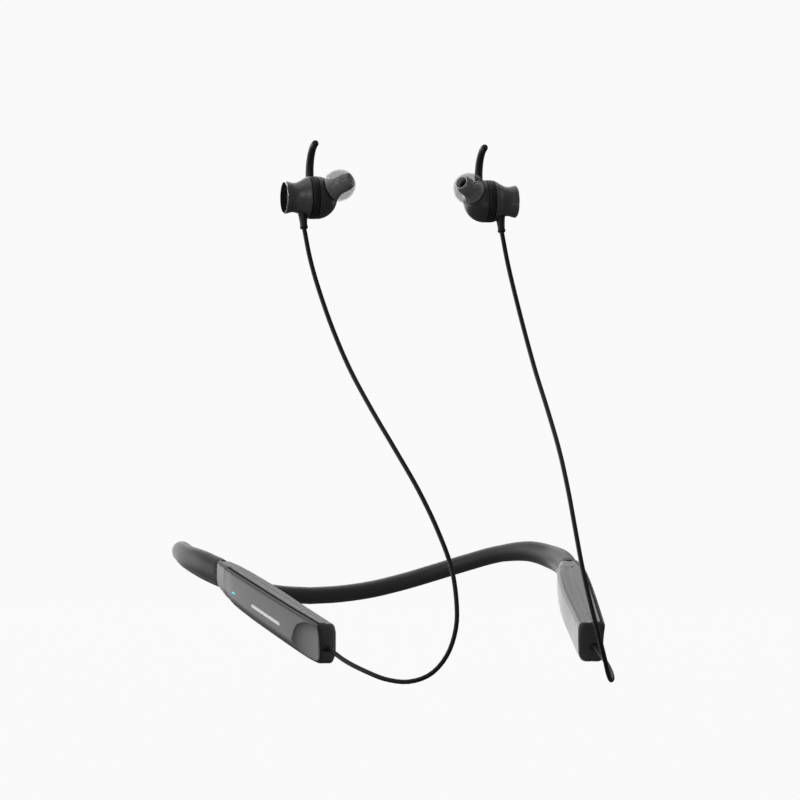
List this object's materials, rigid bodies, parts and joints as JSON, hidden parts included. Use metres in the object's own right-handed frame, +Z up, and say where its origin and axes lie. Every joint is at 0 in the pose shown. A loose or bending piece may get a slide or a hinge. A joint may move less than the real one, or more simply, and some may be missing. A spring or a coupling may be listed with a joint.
{
  "type": "neckband earphones",
  "caption": "Wireless neckband earphones: a flexible silicone neckband with two slim pods, free cables and earbuds with ear hooks and silicone tips, posed as worn.",
  "frame": {"origin": "middle of the neckband's inner face at the nape, where it rests on the wearer's neck", "axes": "+X towards the right pod, -Y forward along the pods, +Z up, with the earphones as worn"},
  "size_m": [0.1594, 0.1734, 0.1988],
  "materials": {
    "band": "matte silicone",
    "shell": "satin moulded ABS",
    "cap": "dark fine-textured plastic",
    "cable": "satin TPE jacket",
    "rubber": "matte rubber",
    "tip": "translucent smoke silicone",
    "steel": "bright",
    "board": "solder mask",
    "cell": "foil wrap",
    "light": "clear light window",
    "magnet": "nickel plated"
  },
  "bodies": {
    "nape": {"nape_sleeve": "band", "nape_spring_wire": "steel", "nape_harness": "cable"},
    "left_arm": {"left_arm_sleeve": "band", "left_arm_wire": "steel", "left_arm_harness": "cable", "left_outer_shell": "shell", "left_inner_shell": "shell", "left_end_cap": "cap", "left_cable_gland": "rubber", "left_band_anchor": "steel", "left_cable": "cable", "led_light_pipe": "light", "led_board": "board", "battery_cell": "cell"},
    "left_earbud": {"left_rear_housing": "shell", "left_rim_ring": "steel", "left_back_disc": "cap", "left_magnet": "magnet", "left_driver": "cap", "left_front_housing": "shell", "left_nozzle_mesh": "steel", "left_ear_hook": "rubber", "left_strain_relief": "rubber"},
    "left_tip": {"left_ear_tip": "tip"},
    "right_arm": {"right_arm_sleeve": "band", "right_arm_wire": "steel", "right_arm_harness": "cable", "right_outer_shell": "shell", "right_inner_shell": "shell", "right_end_cap": "cap", "right_cable_gland": "rubber", "right_band_anchor": "steel", "right_cable": "cable", "main_board": "board", "radio_shield": "steel", "usb_socket": "steel", "vibration_motor": "steel", "microphone": "magnet", "power_switch": "steel", "volume_up_switch": "steel", "volume_down_switch": "steel"},
    "right_earbud": {"right_rear_housing": "shell", "right_rim_ring": "steel", "right_back_disc": "cap", "right_magnet": "magnet", "right_driver": "cap", "right_front_housing": "shell", "right_nozzle_mesh": "steel", "right_ear_hook": "rubber", "right_strain_relief": "rubber"},
    "right_tip": {"right_ear_tip": "tip"},
    "power_button": {"power_button": "rubber"},
    "volume_up_button": {"volume_up_button": "rubber"},
    "volume_down_button": {"volume_down_button": "rubber"},
    "usb_cover": {"usb_cover": "rubber"}
  },
  "joints": [
    {"name": "left_arm_flex", "type": "hinge", "parent": "nape", "child": "left_arm", "pos_m": [-0.0575, -0.013, 0.0122], "axis": [0, 0, -1], "range_deg": [-8, 15], "stiffness_Nm_per_rad": 0.4},
    {"name": "left_earbud_swivel", "type": "hinge", "parent": "left_arm", "child": "left_earbud", "pos_m": [-0.0413, -0.0716, 0.1347], "axis": [0.0793, 0.3327, 0.9397], "range_deg": [-45, 45]},
    {"name": "left_tip_pull", "type": "slide", "parent": "left_earbud", "child": "left_tip", "axis": [0.5654, -0.7083, 0.4226], "range_m": [0, 0.008]},
    {"name": "right_arm_flex", "type": "hinge", "parent": "nape", "child": "right_arm", "pos_m": [0.0575, -0.013, 0.0122], "axis": [0, 0, 1], "range_deg": [-8, 15], "stiffness_Nm_per_rad": 0.4},
    {"name": "right_earbud_swivel", "type": "hinge", "parent": "right_arm", "child": "right_earbud", "pos_m": [0.0413, -0.0716, 0.1347], "axis": [0.0793, 0.3327, 0.9397], "range_deg": [-45, 45]},
    {"name": "right_tip_pull", "type": "slide", "parent": "right_earbud", "child": "right_tip", "axis": [-0.824, -0.3773, 0.4226], "range_m": [0, 0.008]},
    {"name": "power_press", "type": "slide", "parent": "right_arm", "child": "power_button", "axis": [-0.941, 0.3383, 0], "range_m": [0, 0.0004], "stiffness_N_per_m": 2500},
    {"name": "volume_up_press", "type": "slide", "parent": "right_arm", "child": "volume_up_button", "axis": [-0.941, 0.3383, 0], "range_m": [0, 0.0004], "stiffness_N_per_m": 2500},
    {"name": "volume_down_press", "type": "slide", "parent": "right_arm", "child": "volume_down_button", "axis": [-0.941, 0.3383, 0], "range_m": [0, 0.0004], "stiffness_N_per_m": 2500},
    {"name": "usb_cover_swing", "type": "hinge", "parent": "right_arm", "child": "usb_cover", "pos_m": [0.06166, -0.08824, -0.01177], "axis": [0.941, -0.3383, 0], "range_deg": [0, 80]}
  ]
}
